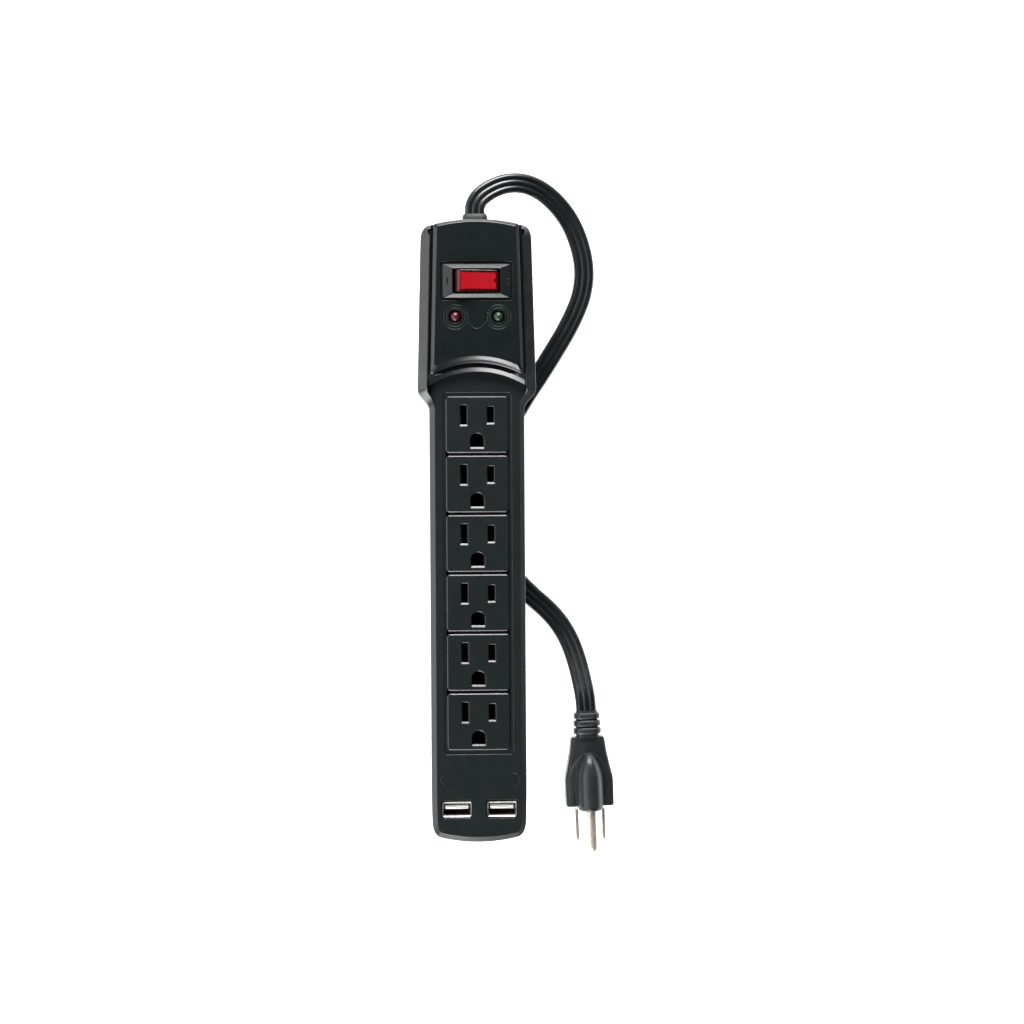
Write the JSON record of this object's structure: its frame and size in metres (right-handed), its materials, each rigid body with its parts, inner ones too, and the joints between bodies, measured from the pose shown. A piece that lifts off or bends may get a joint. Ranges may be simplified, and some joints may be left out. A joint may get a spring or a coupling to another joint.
{
  "type": "power strip",
  "caption": "Long black power strip with three-pin outlets, a lit rocker switch and indicator lamps on a raised head, charging ports, and a short flat cord with a straight plug.",
  "frame": {"origin": "on the floor, below the middle of the housing (bottom centre of its box, the cord and plug left out)", "axes": "+Z out of the outlet faces, +Y along the strip towards the switch and the cord, +X to the right seen from above"},
  "size_m": [0.0935, 0.3253, 0.0416],
  "materials": {
    "black_plastic": "satin moulded plastic, black with a faint cool tint",
    "inner_black_plastic": "plain matt black moulding",
    "black_rubber": "satin black soft plastic",
    "black_cord": "glossy black flat cord jacket",
    "red_translucent": "clear red moulded plastic",
    "red_lens": "clear red lamp lens",
    "green_lens": "clear green lamp lens",
    "plated_steel": "nickel-plated steel",
    "brass": "bright brass",
    "green_board": "green solder-masked board",
    "blue_disc": "blue dipped disc",
    "white_plastic": "white moulded plastic",
    "lamp_glass": "clear glass lamp",
    "green_wire": "green wire insulation"
  },
  "bodies": {
    "root": {"clamp_screw_1": "plated_steel", "clamp_screw_2": "plated_steel", "contact_tray": "inner_black_plastic", "cord": "black_cord", "cord_clamp": "inner_black_plastic", "cord_gland": "black_rubber", "cover_screw_1": "plated_steel", "cover_screw_2": "plated_steel", "cover_screw_3": "plated_steel", "cover_screw_4": "plated_steel", "foot_1": "black_rubber", "foot_2": "black_rubber", "foot_3": "black_rubber", "foot_4": "black_rubber", "green_lamp": "green_lens", "ground_bar": "brass", "ground_wire": "green_wire", "indicator_board": "green_board", "live_bar": "brass", "live_wire": "inner_black_plastic", "neon_lamp": "lamp_glass", "neutral_bar": "brass", "neutral_wire": "white_plastic", "outlet_face_1": "black_plastic", "outlet_face_2": "black_plastic", "outlet_face_3": "black_plastic", "outlet_face_4": "black_plastic", "outlet_face_5": "black_plastic", "outlet_face_6": "black_plastic", "plug_body": "black_rubber", "plug_ground_pin": "plated_steel", "plug_live_blade": "plated_steel", "plug_neutral_blade": "plated_steel", "plug_strain_relief": "black_rubber", "rear_cover": "black_plastic", "red_lamp": "red_lens", "surge_board": "green_board", "switch_bezel": "black_plastic", "switch_body": "inner_black_plastic", "switch_terminal_1": "brass", "switch_terminal_2": "brass", "switch_terminal_3": "brass", "thermal_fuse": "white_plastic", "upper_housing": "black_plastic", "usb_board": "green_board", "usb_capacitor_1": "white_plastic", "usb_capacitor_2": "white_plastic", "usb_shell_1": "plated_steel", "usb_shell_2": "plated_steel", "usb_tongue_1": "white_plastic", "usb_tongue_2": "white_plastic", "usb_transformer": "inner_black_plastic", "varistor_1": "blue_disc", "varistor_2": "blue_disc", "varistor_3": "blue_disc"},
    "rocker": {"rocker": "red_translucent", "plunger": "brass", "plunger_spring": "plated_steel"},
    "contact_lever": {"contact_lever": "brass"}
  },
  "joints": [
    {"name": "rocker_hinge", "type": "hinge", "parent": "root", "child": "rocker", "pos_m": [0, 0.1172, 0.0355], "axis": [0, -1, 0], "range_deg": [0, 20]},
    {"name": "lever_hinge", "type": "hinge", "parent": "root", "child": "contact_lever", "pos_m": [0, 0.1172, 0.0245], "axis": [0, -1, 0], "range_deg": [-8, 0]}
  ],
  "couplings": [
    {"joint": "lever_hinge", "follows": "rocker_hinge", "ratio": -0.4}
  ]
}
